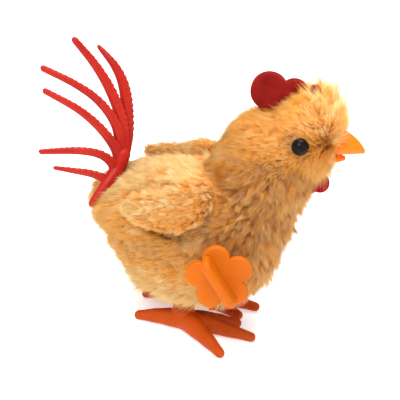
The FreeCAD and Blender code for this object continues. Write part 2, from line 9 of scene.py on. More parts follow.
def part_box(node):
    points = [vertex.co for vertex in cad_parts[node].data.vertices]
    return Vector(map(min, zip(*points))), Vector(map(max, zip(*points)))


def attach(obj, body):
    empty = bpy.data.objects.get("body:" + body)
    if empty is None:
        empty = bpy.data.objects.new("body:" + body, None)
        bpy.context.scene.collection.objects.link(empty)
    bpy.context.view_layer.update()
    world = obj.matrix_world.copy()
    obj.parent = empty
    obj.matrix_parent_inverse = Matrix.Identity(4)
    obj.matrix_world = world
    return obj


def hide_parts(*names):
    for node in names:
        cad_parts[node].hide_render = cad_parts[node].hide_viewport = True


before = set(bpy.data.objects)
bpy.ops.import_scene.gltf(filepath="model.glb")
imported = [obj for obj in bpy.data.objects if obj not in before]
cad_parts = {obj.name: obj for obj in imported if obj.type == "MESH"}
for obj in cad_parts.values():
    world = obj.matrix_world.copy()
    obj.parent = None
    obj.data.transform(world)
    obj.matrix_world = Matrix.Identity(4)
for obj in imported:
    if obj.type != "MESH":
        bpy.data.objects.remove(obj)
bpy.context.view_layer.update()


def show(piece):
    bpy.context.scene.collection.objects.link(piece)


# ---- bird's own axes
# Sizes below are in millimetres about the bird's mid-plane: X forward, Y its left, Z up
# from the floor. `place` turns them into the frame's metres.
MM = 0.001
SIDES = {-1: "right", 1: "left"}
BODY_REAR = -32.8
skin_low, skin_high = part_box("plush_skin")
ORIGIN = np.array([skin_low[0] / MM - BODY_REAR, (skin_low[1] + skin_high[1]) / 2 / MM, 0.0])


def place(point):
    return Vector((np.array(point, float) + ORIGIN) * MM)


def to_bird(points):
    """Frame metres (n, 3) to the bird's millimetres."""
    return points / MM - ORIGIN


def to_frame(points):
    return (points + ORIGIN) * MM


# ---- material helpers
# Sockets of a colour Mix node, and the range that most of a noise lies in.
MIX_FACTOR, MIX_FIRST, MIX_SECOND, MIX_RESULT = 0, 6, 7, 2
NOISE_RANGE = (0.3, 0.7)


class Graph:
    """A material with one Principled shader and short ways to add nodes to it."""

    def __init__(self, name):
        self.material = bpy.data.materials.new(name)
        self.material.use_nodes = True
        self.nodes = self.material.node_tree.nodes
        self.links = self.material.node_tree.links
        self.shader = self.nodes["Principled BSDF"]
        self.place = self.nodes.new("ShaderNodeTexCoord").outputs["Object"]

    def set(self, **values):
        for key, value in values.items():
            self.shader.inputs[key.replace("_", " ")].default_value = value

    def link(self, source, name):
        self.links.new(source, self.shader.inputs[name])

    def noise(self, scale, detail=3.0):
        node = self.nodes.new("ShaderNodeTexNoise")
        node.inputs["Scale"].default_value = scale
        node.inputs["Detail"].default_value = detail
        self.links.new(self.place, node.inputs["Vector"])
        return node.outputs["Fac"]

    def ramp(self, source, stops):
        node = self.nodes.new("ShaderNodeValToRGB")
        stripe = node.color_ramp
        while len(stripe.elements) < len(stops):
            stripe.elements.new(0.5)
        for element, (position, colour) in zip(stripe.elements, stops):
            element.position = position
            element.color = (*colour, 1.0)
        self.links.new(source, node.inputs["Fac"])
        return node.outputs["Color"]

    def mix(self, factor, first, second):
        node = self.nodes.new("ShaderNodeMix")
        node.data_type = "RGBA"
        for index, value in ((MIX_FACTOR, factor), (MIX_FIRST, first), (MIX_SECOND, second)):
            socket = node.inputs[index]
            if isinstance(value, bpy.types.NodeSocket):
                self.links.new(value, socket)
            elif isinstance(value, tuple):
                socket.default_value = (*value, 1.0)
            else:
                socket.default_value = value
        return node.outputs[MIX_RESULT]

    def remap(self, source, old, new):
        """Maps one (low, high) range onto another and holds the ends."""
        node = self.nodes.new("ShaderNodeMapRange")
        for name, value in zip(("From Min", "From Max", "To Min", "To Max"), (*old, *new)):
            node.inputs[name].default_value = value
        self.links.new(source, node.inputs["Value"])
        return node.outputs["Result"]

    def spread(self, source, low, high):
        """Maps a noise's usual range onto low to high."""
        return self.remap(source, NOISE_RANGE, (low, high))

    def blotched(self, colour, other, share, scale, detail=3.0):
        """A colour with up to a share of another mixed in, in blotches."""
        return self.mix(self.spread(self.noise(scale, detail), 0.0, share), colour, other)

    def attribute(self, name):
        node = self.nodes.new("ShaderNodeAttribute")
        node.attribute_name = name
        return node.outputs["Fac"]

    def bump(self, height, strength, distance):
        node = self.nodes.new("ShaderNodeBump")
        node.inputs["Strength"].default_value = strength
        node.inputs["Distance"].default_value = distance
        self.links.new(height, node.inputs["Height"])
        self.links.new(node.outputs["Normal"], self.shader.inputs["Normal"])


# Fur colours, linear: at the root, the middle and the tip of a strand. The light tips are partly the pile's
# own tipping and partly painted highlight.
STRAND_STOPS = (0.0, 0.45, 1.0)
CREAM = ((0.72, 0.34, 0.090), (0.95, 0.62, 0.230), (1.00, 0.84, 0.470))
GOLD = ((0.44, 0.100, 0.005), (0.86, 0.265, 0.012), (1.00, 0.50, 0.055))
RUSSET = ((0.22, 0.036, 0.003), (0.40, 0.088, 0.007), (0.90, 0.55, 0.230))
# At most so much gold is mixed in by soft patches, and so much cream strand by strand.
PATCH_GOLD, STRAND_CREAM = 0.22, 0.30


def fur(name):
    """Pile that runs from cream through gold to russet by its `warm` value."""
    g = Graph(name)
    along = g.attribute("along")
    tint = g.attribute("tint")
    warm = g.attribute("warm")
    shades = (list(zip(STRAND_STOPS, colours)) for colours in (CREAM, GOLD, RUSSET))
    cream, gold, russet = (g.ramp(along, stops) for stops in shades)
    light = g.mix(g.remap(warm, (0.0, 0.5), (0.0, 1.0)), cream, gold)
    pile = g.mix(g.remap(warm, (0.5, 1.0), (0.0, 1.0)), light, russet)
    patchy = g.blotched(pile, gold, PATCH_GOLD, scale=150.0, detail=2.0)
    g.link(g.mix(g.remap(tint, (0.0, 1.0), (0.0, STRAND_CREAM)), patchy, cream), "Base Color")
    g.set(Roughness=0.6, Specular_IOR_Level=0.12)
    return g.material


def cloth(name, colour, dark):
    """Knitted backing under the fur."""
    g = Graph(name)
    knit = g.noise(scale=2600.0, detail=2.0)
    g.link(g.blotched(colour, dark, 0.8, scale=300.0), "Base Color")
    g.set(Roughness=0.9)
    g.bump(knit, strength=0.4, distance=0.0002)
    return g.material


def vinyl(name, colour, dark, light, gloss, soft=0.0):
    """Soft moulded vinyl: slightly uneven colour, faint orange-peel, worn gloss."""
    g = Graph(name)
    base = g.blotched(colour, dark, 0.5, scale=130.0, detail=4.0)
    g.link(g.blotched(base, light, 0.35, scale=60.0, detail=2.0), "Base Color")
    g.link(g.spread(g.noise(scale=500.0, detail=3.0), gloss - 0.06, gloss + 0.1), "Roughness")
    g.set(Specular_IOR_Level=0.16, Subsurface_Weight=soft)
    g.set(Subsurface_Radius=(0.004, 0.0015, 0.0006), Subsurface_Scale=1.0)
    g.bump(g.noise(scale=900.0, detail=2.0), strength=0.12, distance=0.0002)
    return g.material


def flock(name, colour, dark):
    """Velvet-like flocking: deep face, lighter at grazing angles, fine grain."""
    g = Graph(name)
    g.link(g.blotched(colour, dark, 0.8, scale=260.0, detail=4.0), "Base Color")
    g.set(Roughness=0.95, Sheen_Weight=0.6, Sheen_Roughness=0.3, Specular_IOR_Level=0.1)
    g.set(Sheen_Tint=(1.0, 0.08, 0.05, 1.0))
    g.bump(g.noise(scale=6000.0, detail=2.0), strength=0.5, distance=0.0001)
    return g.material


def metal(name, colour, rough):
    """Worn steel: its colour darkens in blotches, and its roughness is uneven."""
    g = Graph(name)
    dark = tuple(0.6 * part for part in colour)
    g.link(g.blotched(colour, dark, 0.5, scale=350.0), "Base Color")
    g.link(g.spread(g.noise(scale=1500.0, detail=3.0), rough - 0.08, rough + 0.12), "Roughness")
    g.set(Metallic=1.0)
    g.bump(g.noise(scale=4000.0, detail=2.0), strength=0.1, distance=0.00005)
    return g.material


def eye(name, colour, light):
    """Black bead with a soft gloss."""
    g = Graph(name)
    g.link(g.blotched(colour, light, 1.0, scale=300.0), "Base Color")
    g.link(g.spread(g.noise(scale=900.0), 0.22, 0.30), "Roughness")
    g.set(Specular_IOR_Level=0.09)
    return g.material


# Every colour is linear red, green and blue.
FUR = fur("plush_pile")
BACKING = cloth("plush_backing_cloth", colour=(0.80, 0.36, 0.08), dark=(0.66, 0.24, 0.04))
PALE_BACKING = cloth("wing_backing_cloth", colour=(0.95, 0.66, 0.30), dark=(0.88, 0.54, 0.20))
TAIL_RED = vinyl(
    "tail_vinyl", colour=(0.38, 0.010, 0.006), dark=(0.25, 0.004, 0.006),
    light=(0.50, 0.040, 0.012), gloss=0.36, soft=0.03)
FOOT_ORANGE = vinyl(
    "foot_vinyl_look", colour=(0.44, 0.054, 0.001), dark=(0.34, 0.034, 0.001),
    light=(0.56, 0.088, 0.001), gloss=0.5, soft=0.06)
KEY_ORANGE = vinyl(
    "key_plastic_look", colour=(0.50, 0.105, 0.0), dark=(0.45, 0.082, 0.0),
    light=(0.66, 0.18, 0.0), gloss=0.5, soft=0.08)
BEAK_YELLOW = vinyl(
    "beak_plastic_look", colour=(0.92, 0.19, 0.004), dark=(0.86, 0.14, 0.003),
    light=(0.95, 0.25, 0.006), gloss=0.4, soft=0.10)
COMB_RED = flock("comb_flock_look", colour=(0.215, 0.008, 0.006), dark=(0.12, 0.004, 0.003))
WATTLE_RED = flock("wattle_felt_look", colour=(0.38, 0.010, 0.016), dark=(0.26, 0.007, 0.012))
WHITE_PLASTIC = vinyl(
    "white_plastic_look", colour=(0.80, 0.79, 0.74), dark=(0.70, 0.69, 0.63),
    light=(0.86, 0.85, 0.80), gloss=0.45)
GEARBOX = vinyl(
    "gearbox_plastic_look", colour=(0.70, 0.70, 0.67), dark=(0.60, 0.60, 0.57),
    light=(0.78, 0.78, 0.74), gloss=0.5)
NYLON = vinyl(
    "gear_nylon_look", colour=(0.82, 0.78, 0.66), dark=(0.72, 0.68, 0.54),
    light=(0.88, 0.85, 0.74), gloss=0.4)
BASE_PLASTIC = vinyl(
    "base_plastic_look", colour=(0.55, 0.055, 0.012), dark=(0.40, 0.03, 0.008),
    light=(0.62, 0.08, 0.015), gloss=0.45)
STEEL = metal("arbor_steel_look", colour=(0.60, 0.60, 0.62), rough=0.32)
SPRING = metal("spring_steel_look", colour=(0.30, 0.32, 0.38), rough=0.35)
EYE_BLACK = eye("eye_bead_look", colour=(0.003, 0.003, 0.004), light=(0.008, 0.007, 0.007))


def dress(material, *names):
    """Gives CAD pieces their material."""
    for name in names:
        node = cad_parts[name]
        for slot in node.material_slots:
            slot.material = material


dress(KEY_ORANGE, "winding_key")
dress(BEAK_YELLOW, "upper_beak", "lower_beak")
dress(COMB_RED, "comb")
dress(WATTLE_RED, "wattle")
dress(EYE_BLACK, "left_eye", "right_eye")
dress(BASE_PLASTIC, "base_plate")
dress(GEARBOX, "gearbox_right_half", "gearbox_left_half")
dress(WHITE_PLASTIC, "left_leg_lever", "right_leg_lever", "left_crank_disc", "right_crank_disc",
      "leg_pivot_caps", "eye_washers", "tail_washer")
dress(NYLON, "great_wheel", "second_wheel", "crank_pinion", "governor_wheel")
dress(STEEL, "winding_arbor", "second_arbor", "crank_arbor", "governor_arbor", "gearbox_screws",
      "base_plate_screws")
dress(SPRING, "mainspring", "ratchet_wheel", "click")


# ---- mesh helpers
TINY = 1e-9              # holds a divisor off zero


def new_object(name, vertices, faces, material):
    mesh = bpy.data.meshes.new(name)
    mesh.from_pydata([tuple(v) for v in vertices], [], faces)
    mesh.update()
    mesh.materials.append(material)
    piece = bpy.data.objects.new(name, mesh)
    show(piece)
    return piece


def smooth(piece):
    piece.data.polygons.foreach_set("use_smooth", [True] * len(piece.data.polygons))
    piece.data.update()


def baked(piece):
    """Applies every modifier on a piece."""
    depsgraph = bpy.context.evaluated_depsgraph_get()
    mesh = bpy.data.meshes.new_from_object(piece.evaluated_get(depsgraph))
    old = piece.data
    piece.modifiers.clear()
    piece.data = mesh
    bpy.data.meshes.remove(old)


def coordinates(piece):
    points = np.empty(len(piece.data.vertices) * 3)
    piece.data.vertices.foreach_get("co", points)
    return points.reshape(-1, 3)


def set_coordinates(piece, points):
    piece.data.vertices.foreach_set("co", np.ascontiguousarray(points, dtype=np.float64).ravel())
    piece.data.update()


def unit_ball():
    """Corners and faces of a sphere of radius 1."""
    mesh = bmesh.new()
    bmesh.ops.create_uvsphere(mesh, u_segments=28, v_segments=18, radius=1.0)
    mesh.verts.index_update()
    corners = np.array([tuple(vertex.co) for vertex in mesh.verts])
    faces = [tuple(vertex.index for vertex in face.verts) for face in mesh.faces]
    mesh.free()
    return corners, faces


def remeshed(piece, voxel, rounds):
    """Turns a rough closed skin into an even, smooth one; voxel in millimetres."""
    remesh = piece.modifiers.new("remesh", "REMESH")
    remesh.mode = "VOXEL"
    remesh.voxel_size = voxel * MM
    soften = piece.modifiers.new("soften", "SMOOTH")
    soften.factor = 0.5
    soften.iterations = rounds
    baked(piece)


def ball_cluster(name, balls, voxel, rounds, material):
    """Joins (centre, radii) balls, given in millimetres, into one closed skin."""
    corners, faces = unit_ball()
    vertices = np.concatenate([to_frame(centre + corners * radii) for centre, radii in balls])
    shifts = range(0, len(vertices), len(corners))
    rings = [tuple(corner + shift for corner in face) for shift in shifts for face in faces]
    piece = new_object(name, vertices, rings, material)
    remeshed(piece, voxel, rounds)
    smooth(piece)
    return piece


# A skin is swollen at ten times its size, where the cloth solver works well.
SWELL_SCALE = 10.0
SWELL_FRAMES = 20
CLOTH_STIFFNESS, CLOTH_BENDING = 12.0, 0.4


def puff(piece, pressure, cap):
    """Swells a closed skin by cloth simulation, by at most cap millimetres."""
    rest = coordinates(piece)
    centre = rest.mean(axis=0)
    big = bpy.data.objects.new("swelling", piece.data.copy())
    show(big)
    set_coordinates(big, (rest - centre) * SWELL_SCALE)
    settings = big.modifiers.new("cloth", "CLOTH").settings
    settings.use_pressure = True
    settings.uniform_pressure_force = pressure
    settings.tension_stiffness = CLOTH_STIFFNESS
    settings.compression_stiffness = CLOTH_STIFFNESS
    settings.bending_stiffness = CLOTH_BENDING
    settings.effector_weights.gravity = 0.0
    scene = bpy.context.scene
    for step in range(1, SWELL_FRAMES + 1):
        scene.frame_set(step)
    swollen = big.evaluated_get(bpy.context.evaluated_depsgraph_get()).data
    points = np.empty(len(swollen.vertices) * 3)
    swollen.vertices.foreach_get("co", points)
    moved = points.reshape(-1, 3) / SWELL_SCALE + centre - rest
    length = np.linalg.norm(moved, axis=1, keepdims=True)
    moved *= np.minimum(1.0, cap * MM / np.maximum(length, TINY))
    scene.frame_set(1)
    data = big.data
    bpy.data.objects.remove(big)
    bpy.data.meshes.remove(data)
    set_coordinates(piece, rest + moved)


def subdivided(piece):
    """Splits every face once and rounds the skin."""
    modifier = piece.modifiers.new("subdivide", "SUBSURF")
    modifier.levels = 1
    modifier.render_levels = 1
    baked(piece)
    smooth(piece)


def unit(vectors):
    return vectors / np.maximum(np.linalg.norm(vectors, axis=-1, keepdims=True), TINY)


def rise(value, low, high):
    """Smooth step from 0 at low to 1 at high."""
    t = np.clip((value - low) / (high - low), 0.0, 1.0)
    return t * t * (3 - 2 * t)


# ---- plush form
# The same rounds as the CAD plush: (centre, half sizes, forward lean in radians).
FORMS = (
    (np.array([-1.6, 0, 37.0]), np.array([31.2, 22.6, 15.2]), 0.0),
    (np.array([0.5, 0, 27.5]), np.array([26.6, 22.5, 20.5]), 0.0),
    (np.array([16.0, 0, 48.5]), np.array([16.0, 16.5, 23.0]), math.radians(18.0)),
    (np.array([19.0, 0, 61.5]), np.array([11.2, 12.2, 10.8]), 0.0),
    (np.array([28.2, 0, 67.2]), np.array([11.6, 12.3, 13.0]), 0.0),
)
FUR_DEPTH = 3.0
BLEND = 5.0


def form_distance(points):
    """Signed distance, in millimetres, to the smoothly joined body, neck and head."""
    total = None
    for centre, semi, lean in FORMS:
        local = points - centre
        x = local[:, 0] * math.cos(lean) - local[:, 2] * math.sin(lean)
        z = local[:, 0] * math.sin(lean) + local[:, 2] * math.cos(lean)
        local = np.stack([x, local[:, 1], z], axis=1)
        reach = np.linalg.norm(local / semi, axis=1)
        slope = np.linalg.norm(local / semi ** 2, axis=1)
        distance = reach * (reach - 1.0) / np.maximum(slope, TINY)
        if total is None:
            total = distance
        else:
            near = np.clip(0.5 + 0.5 * (total - distance) / BLEND, 0.0, 1.0)
            total = total * (1 - near) + distance * near - BLEND * near * (1 - near)
    return total


def form_normal(points):
    """Outward directions, from distances either side of each point."""
    step = 0.05
    slopes = []
    for axis in range(3):
        offset = np.zeros(3)
        offset[axis] = step
        slopes.append((form_distance(points + offset) - form_distance(points - offset)) / (2 * step))
    return unit(np.stack(slopes, axis=1))


# The belly opening, the same oval as the base plate: centre x, half sizes, height; and the
# half sizes of the notch that lets the legs swing.
OPENING_X, OPENING_SEMI, OPENING_TOP = 2.8, (16.6, 12.6), 18.0
LEG_NOTCH = (8.3, 12.4)
# One more ball fills the throat before the skin is drawn onto the forms.
THROAT = (np.array([23.0, 0, 56.0]), np.array([11.0, 11.0, 14.0]))
DRAWING_ROUNDS = 6


def plush_backing():
    """The sewn skin without its pile, puffed by the stuffing and open under the belly."""
    balls = [(centre, semi - FUR_DEPTH) for centre, semi, _ in FORMS] + [THROAT]
    skin = ball_cluster("plush_backing", balls, voxel=2.0, rounds=2, material=BACKING)
    points = to_bird(coordinates(skin))
    for _ in range(DRAWING_ROUNDS):
        points -= (form_distance(points) + FUR_DEPTH)[:, None] * form_normal(points)
    set_coordinates(skin, to_frame(points))
    puff(skin, pressure=4.0, cap=0.6)
    subdivided(skin)
    mesh = bmesh.new()
    mesh.from_mesh(skin.data)
    gone = []
    for face in mesh.faces:
        x, y, z = to_bird(np.array(face.calc_center_median()))
        oval = ((x - OPENING_X) / OPENING_SEMI[0]) ** 2 + (y / OPENING_SEMI[1]) ** 2 < 1.0
        notch = abs(x) < LEG_NOTCH[0] and abs(y) < LEG_NOTCH[1]
        if (oval or notch) and z < OPENING_TOP:
            gone.append(face)
    bmesh.ops.delete(mesh, geom=gone, context="FACES")
    mesh.to_mesh(skin.data)
    mesh.free()
    return skin


CLOTH_THICK = 1.2


def thicken(skin):
    """Gives the backing its cloth thickness, inwards."""
    thick = skin.modifiers.new("cloth_thickness", "SOLIDIFY")
    thick.thickness = CLOTH_THICK * MM
    thick.offset = -1.0
    baked(skin)
    smooth(skin)
    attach(skin, "body")
    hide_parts("plush_skin", "stuffing")


# ---- wings
WING_CENTRE = np.array([-8.4, 21.9, 46.2])
WING_LEAN = math.radians(44.0)
WING_OUTLINE = ((-12.0, -2.4), (-10.8, -4.9), (-8.2, -7.2), (-4.6, -8.7), (0.0, -9.0), (5.0, -8.3),
                (10.0, -5.2), (13.0, 0.0), (13.8, 4.4), (11.8, 7.6), (7.8, 8.4), (2.8, 5.8),
                (-1.6, 3.0), (-5.6, 1.0), (-9.4, -0.4))
WING_HALF = 0.9          # half its thickness before it is puffed


def wing_axes(side):
    """A wing's centre and its forward, up and outward directions."""
    across = np.array([1.0, 0.0, 0.0])
    up = np.array([0.0, -math.sin(WING_LEAN) * side, math.cos(WING_LEAN)])
    out = np.array([0.0, math.cos(WING_LEAN) * side, math.sin(WING_LEAN)])
    centre = WING_CENTRE * np.array([1.0, side, 1.0])
    return centre, across, up, out


def on_wing(points, side):
    """Places along, up and out from a wing, in its own directions."""
    centre, *directions = wing_axes(side)
    return [(points - centre) @ direction for direction in directions]


def wing_pad(side):
    """Two sewn layers of plush, closed round the outline and puffed."""
    centre, across, up, out = wing_axes(side)
    vertices, faces = [], []
    count = len(WING_OUTLINE)
    for offset in (-WING_HALF, WING_HALF):
        for u, v in WING_OUTLINE:
            vertices.append(to_frame(centre + across * u + up * v + out * offset))
    faces.append(tuple(reversed(range(count))))
    faces.append(tuple(range(count, 2 * count)))
    for index in range(count):
        after = (index + 1) % count
        faces.append((index, after, count + after, count + index))
    if side < 0:
        faces = [tuple(reversed(face)) for face in faces]
    name = SIDES[side] + "_wing"
    pad = new_object(name + "_pad", vertices, faces, PALE_BACKING)
    remeshed(pad, voxel=0.8, rounds=4)
    puff(pad, pressure=6.0, cap=1.3)
    subdivided(pad)
    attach(pad, "body")
    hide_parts(name)
    return pad


# ---- fur strands
def triangles(piece):
    mesh = piece.data
    mesh.calc_loop_triangles()
    corners = np.empty(len(mesh.loop_triangles) * 3, dtype=np.int64)
    mesh.loop_triangles.foreach_get("vertices", corners)
    return corners.reshape(-1, 3)


def scatter(piece, amount, draw):
    """Random points on a piece in the bird's millimetres, with outward normals."""
    points = to_bird(coordinates(piece))
    corners = triangles(piece)
    a, b, c = (points[corners[:, k]] for k in range(3))
    cross = np.cross(b - a, c - a)
    area = np.linalg.norm(cross, axis=1)
    pick = draw.choice(len(area), size=amount, p=area / area.sum())
    u, v = draw.random(amount), draw.random(amount)
    flip = u + v > 1
    u[flip], v[flip] = 1 - u[flip], 1 - v[flip]
    spots = a[pick] + (b - a)[pick] * u[:, None] + (c - a)[pick] * v[:, None]
    return spots, cross[pick] / np.maximum(area[pick], TINY)[:, None]


def nearest(centres, points):
    """For each point, the number of the centre that is nearest to it."""
    tree = kdtree.KDTree(len(centres))
    for index, centre in enumerate(centres):
        tree.insert(centre, index)
    tree.balance()
    return np.array([tree.find(point)[1] for point in points])


SEGMENTS = 2
CORNERS = 3
MOST_STRANDS = 19000     # per piece, which keeps a piece under 200,000 triangles
ROOT_CELL = 0.02         # a strand's closed root, as a share of its patch of the texture
CELL_MARGIN = 0.1        # kept free round the patch
TAPER = 0.4
STEEP = 0.8              # above this share of upright, a strand's rings are laid out from X


def strand_pattern():
    """The triangles of one strand and their places on its own patch of the texture."""
    faces, cells = [], []
    for ring in range(SEGMENTS - 1):
        for corner in range(CORNERS):
            after = (corner + 1) % CORNERS
            low, high = ring * CORNERS, (ring + 1) * CORNERS
            left, right = corner / CORNERS, (corner + 1) / CORNERS
            bottom, top = ring / SEGMENTS, (ring + 1) / SEGMENTS
            faces.append((low + corner, low + after, high + after))
            cells.append(((left, bottom), (right, bottom), (right, top)))
            faces.append((low + corner, high + after, high + corner))
            cells.append(((left, bottom), (right, top), (left, top)))
    last = (SEGMENTS - 1) * CORNERS
    bottom = (SEGMENTS - 1) / SEGMENTS
    for corner in range(CORNERS):
        after = (corner + 1) % CORNERS
        left, right = corner / CORNERS, (corner + 1) / CORNERS
        faces.append((last + corner, last + after, SEGMENTS * CORNERS))
        cells.append(((left, bottom), (right, bottom), ((left + right) / 2, 1.0)))
    faces.append((2, 1, 0))
    cells.append(((0.0, 0.0), (ROOT_CELL, 0.0), (0.0, ROOT_CELL)))
    return np.array(faces), np.array(cells)


def strand_vertices(paths, radii):
    """Rings of corners along each path and one point at its tip, with each one's share."""
    along = unit(paths[:, -1] - paths[:, 0])
    steep = np.abs(along[:, 2:3]) > STEEP
    helper = np.where(steep, np.array([[1.0, 0, 0]]), np.array([[0, 0, 1.0]]))
    side = unit(np.cross(along, helper))
    other = np.cross(along, side)
    vertices = np.empty((len(paths), SEGMENTS * CORNERS + 1, 3))
    share = np.ones((len(paths), SEGMENTS * CORNERS + 1))
    for ring in range(SEGMENTS):
        part = ring / SEGMENTS
        radius = radii * (1.0 - TAPER * part)
        for corner in range(CORNERS):
            angle = 2 * math.pi * corner / CORNERS
            offset = side * math.cos(angle) + other * math.sin(angle)
            vertices[:, ring * CORNERS + corner] = paths[:, ring] + offset * radius[:, None]
            share[:, ring * CORNERS + corner] = part
    vertices[:, -1] = paths[:, -1]
    return vertices, share


def strand_mesh(name, paths, radii, values):
    """Closed tapering strands as one mesh. paths is (n, SEGMENTS + 1, 3) in millimetres."""
    amount = len(paths)
    vertices, share = strand_vertices(paths, radii)
    faces, cells = strand_pattern()
    shift = np.arange(amount) * vertices.shape[1]
    corners = (faces[None] + shift[:, None, None]).reshape(-1)
    mesh = bpy.data.meshes.new(name)
    mesh.vertices.add(amount * vertices.shape[1])
    mesh.vertices.foreach_set("co", to_frame(vertices.reshape(-1, 3)).ravel())
    mesh.loops.add(len(corners))
    mesh.loops.foreach_set("vertex_index", corners.astype(np.int32))
    total = len(corners) // 3
    mesh.polygons.add(total)
    mesh.polygons.foreach_set("loop_start", (np.arange(total) * 3).astype(np.int32))
    mesh.polygons.foreach_set("use_smooth", np.ones(total, dtype=bool))
    mesh.update(calc_edges=True)
    even = {label: np.repeat(value, vertices.shape[1]) for label, value in values.items()}
    for label, value in {"along": share.ravel(), **even}.items():
        layer = mesh.attributes.new(label, "FLOAT", "POINT")
        layer.data.foreach_set("value", value.astype(np.float32))
    grid = math.ceil(math.sqrt(amount))
    column = (np.arange(amount) % grid)[:, None, None]
    row = (np.arange(amount) // grid)[:, None, None]
    inner = CELL_MARGIN + (1 - 2 * CELL_MARGIN) * cells[None]
    spots = np.stack([(column + inner[..., 0]) / grid, (row + inner[..., 1]) / grid], axis=-1)
    layer = mesh.uv_layers.new(name="OFBake")
    layer.data.foreach_set("uv", spots.reshape(-1).astype(np.float32))
    mesh.materials.append(FUR)
    piece = bpy.data.objects.new(name, mesh)
    show(piece)
    return piece


LEAN = 0.55              # along the flow, where a strand leaves the skin
STRAY = 0.14             # how far single strands stray from that direction
TIP_LIFT = 0.3           # share of its lift that a strand keeps towards its tip
LYING = 0.45             # share of its length that lies along the flow
GATHER = 1.3             # power by which a lock draws together towards its tip
LOCK_LENGTHS = (0.82, 1.12)
FEWEST_LOCKS = 4


def grow(roots, normals, style, draw):
    """Strand paths: up along the normal, over along the flow, gathered into locks.

    style holds, for each strand, its length, lift, curl, clump and flow, and one lock size.
    """
    amount = len(roots)
    lift = style["lift"][:, None]
    flow = style["flow"]
    lay = unit(flow - normals * np.sum(flow * normals, axis=1, keepdims=True))
    wander = draw.normal(size=(amount, 3))
    start = unit(normals * lift + lay * LEAN + wander * STRAY)
    bend = unit(normals * lift * TIP_LIFT + lay + wander * STRAY)
    locks = max(FEWEST_LOCKS, int(amount / style["lock"]))
    chosen = draw.choice(amount, size=locks, replace=False)
    lock = nearest(roots[chosen], roots)
    head = chosen[lock]
    sway = draw.normal(size=(locks, 3))[lock] * style["curl"][:, None]
    length = (style["length"] * draw.uniform(*LOCK_LENGTHS, locks)[lock])[:, None]
    paths = np.empty((amount, SEGMENTS + 1, 3))
    for index in range(SEGMENTS + 1):
        part = index / SEGMENTS
        rising = part * (1 - LYING * part)
        lying = LYING * part ** 2
        drift = length * sway * part ** 2
        own = roots + length * (start * rising + bend * lying) + drift
        core = roots[head] + length * (start[head] * rising + bend[head] * lying) + drift
        pull = (style["clump"] * part ** GATHER)[:, None]
        paths[:, index] = own * (1 - pull) + core * pull
    return paths, lock


LOCK_TINT = 0.6          # share of a strand's tint that it has from its lock
LOCK_WARMTH = 0.34       # how far the warmth of locks differs
LOOSE_WARMTH = 0.25      # share of that difference where the pile has no clumps
STRAND_RADII = (0.045, 0.085)


def plant(name, roots, normals, style, keep_clear, draw):
    """Grows a field of fur and splits it into pieces from tail to beak."""
    paths, lock = grow(roots, normals, style, draw)
    if keep_clear:
        keep_clear(paths)
    tones = draw.random(lock.max() + 1)
    tint = LOCK_TINT * tones[lock] + (1 - LOCK_TINT) * draw.random(len(roots))
    shift = draw.normal(size=lock.max() + 1)[lock] * LOCK_WARMTH
    warm = np.clip(style["warm"] + shift * (LOOSE_WARMTH + style["clump"]), 0.0, 1.0)
    radii = draw.uniform(*STRAND_RADII, len(roots)) * style["thick"]
    count = math.ceil(len(roots) / MOST_STRANDS)
    order = np.argsort(roots[:, 0], kind="stable")
    for index, part in enumerate(np.array_split(order, count)):
        values = {"tint": tint[part], "warm": warm[part]}
        fur = strand_mesh(f"{name}_{index + 1:02d}", paths[part], radii[part], values)
        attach(fur, "body")


# ---- fur of the body
# In millimetres. rise(x, 6.0, 22.0) goes from 0 at x = 6 to 1 at x = 22.
BODY_STRANDS = 270000
WING_STRANDS = 19000

KEY = np.array([10.2, -23.0, 27.8])
EYE = np.array([27.4, 12.4, 65.8])
EYES = (EYE, EYE * np.array([1, -1, 1]))
BEAK = np.array([40.5, 0.0, 63.8])
FACE = np.array([41.0, 0.0, 62.0])
CREST = np.array([32.5, 0.0, 78.0])
COMB_FRONT = np.array([27.5, 0.0, 80.0])
NAPE = np.array([10.0, 0.0, 68.0])
# The tail's spine: places along it, with its radius there.
SPINE = ((-25.2, 0, 50.5, 2.3), (-26.3, -1.2, 45.8, 2.4), (-28.6, -4.0, 41.6, 2.1), (-32.0, -7.3, 36.0, 1.3))
# Where the fur is kept short or away: (centre, bare radius, full radius).
CLEARINGS = ((KEY, 3.8, 9.0), (EYES[0], 2.0, 3.8), (EYES[1], 2.0, 3.8), (BEAK, 1.9, 3.2),
             (COMB_FRONT, 2.4, 6.0))
STUBBLE = 0.35           # share of the full length that fur has just outside a bare radius
BARE_EDGE = 0.6


def apart(points, centre):
    return np.linalg.norm(points - centre, axis=1)


def spine_distance(points):
    """Distance to the line that the tail's spine follows."""
    best = np.full(len(points), np.inf)
    for start, end in zip(SPINE, SPINE[1:]):
        a, b = np.array(start[:3], float), np.array(end[:3], float)
        share = np.clip((points - a) @ (b - a) / np.dot(b - a, b - a), 0.0, 1.0)
        best = np.minimum(best, np.linalg.norm(points - a - share[:, None] * (b - a), axis=1))
    return best


def fullness(points):
    """How long the fur may be: 1, but 0 at the knob's hub, the eyes, the beak and the comb's
    front, and less beside the tail's spine and under the middle of the belly."""
    _, y, z = points.T
    amount = np.ones(len(points))
    for centre, bare, full in CLEARINGS:
        far = apart(points, centre)
        amount *= STUBBLE * rise(far, bare, bare + BARE_EDGE) + (1 - STUBBLE) * rise(far, bare, full)
    near_side = rise(y, 3.0, -1.0)
    amount *= 1 - 0.75 * near_side * (1 - rise(spine_distance(points), 4.0, 8.5))
    under_middle = rise(z, 13.0, 10.0) * rise(np.abs(y), 8.0, 5.0)
    return amount * (1 - 0.6 * under_middle)


def beard(points):
    """1 on the cheeks and chin, where the pile hangs down over the wattle."""
    x, _, z = points.T
    return rise(x, 26.0, 33.0) * rise(z, 50.0, 54.0) * rise(z, 67.0, 61.0)


